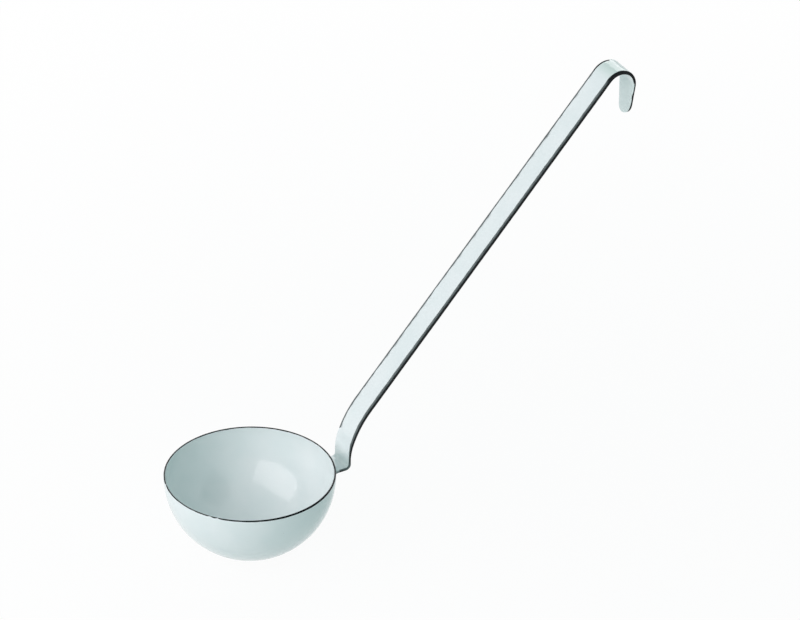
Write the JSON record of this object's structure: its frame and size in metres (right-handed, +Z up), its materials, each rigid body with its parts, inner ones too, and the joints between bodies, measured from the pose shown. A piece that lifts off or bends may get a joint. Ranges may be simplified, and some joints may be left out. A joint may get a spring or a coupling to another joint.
{
  "type": "soup ladle",
  "caption": "Enamelled steel soup ladle: deep half-ball bowl with a dark rim line, welded to a long flat bar handle that ends in a hanging hook.",
  "frame": {"origin": "centre of the hook's inner bend, on the axis that a hanging rail runs along", "axes": "+Z up with the bowl's rim level, +X from the bowl towards the hook, +Y across the handle bar"},
  "size_m": [0.2753, 0.09, 0.2245],
  "materials": {
    "enamel_white": "glossy white vitreous enamel with a faint blue-green tint",
    "enamel_dark": "glossy blue-black vitreous enamel",
    "steel": "bare low-carbon steel, hidden under the enamel"
  },
  "bodies": {
    "root": {"bowl_steel": "steel", "bowl_inside_enamel": "enamel_white", "bowl_outside_enamel": "enamel_white", "rim_enamel_line": "enamel_dark", "handle_steel": "steel", "handle_front_enamel": "enamel_white", "handle_back_enamel": "enamel_white", "handle_edge_enamel": "enamel_dark", "weld_bead": "steel", "joint_enamel": "enamel_white"}
  },
  "joints": []
}
